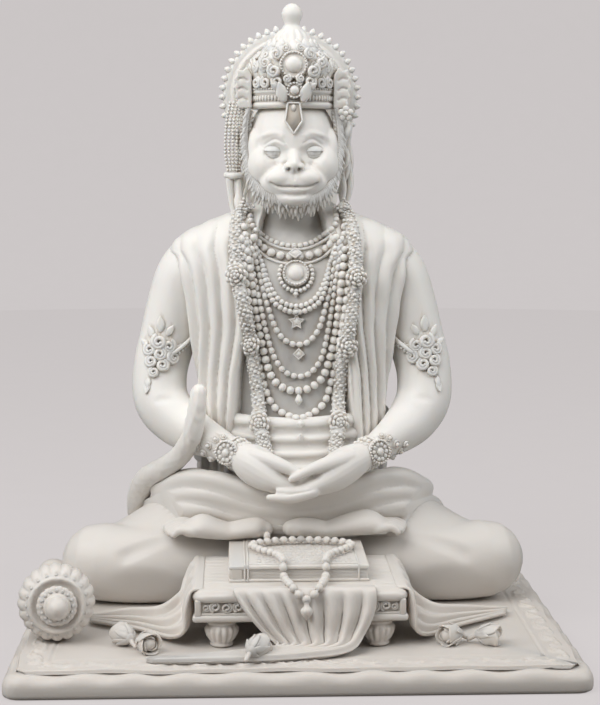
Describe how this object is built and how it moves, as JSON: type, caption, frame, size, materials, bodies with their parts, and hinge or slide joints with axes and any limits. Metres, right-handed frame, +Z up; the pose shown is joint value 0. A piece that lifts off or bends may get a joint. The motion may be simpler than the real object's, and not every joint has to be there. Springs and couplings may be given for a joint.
{
  "type": "seated hanuman figure on plinth",
  "caption": "Cast white figure of Hanuman seated cross-legged in meditation on a rug-covered plinth, with a mace, a draped book stand, a book, prayer beads and flowers.",
  "frame": {"origin": "middle of the plinth's underside", "axes": "+Z up, the figure faces -Y, +X to the viewer's right"},
  "size_m": [0.174, 0.128, 0.21],
  "materials": {
    "cast_stone": "satin white marble-dust casting, slightly warm in the hollows"
  },
  "bodies": {
    "root": {"base": "cast_stone", "figure": "cast_stone", "halo": "cast_stone", "book_stand": "cast_stone", "book": "cast_stone", "prayer_beads": "cast_stone", "mace": "cast_stone", "flower_left_rear": "cast_stone", "flower_left_front": "cast_stone", "flower_middle": "cast_stone", "flower_right_inner": "cast_stone", "flower_right_outer": "cast_stone"}
  },
  "joints": []
}
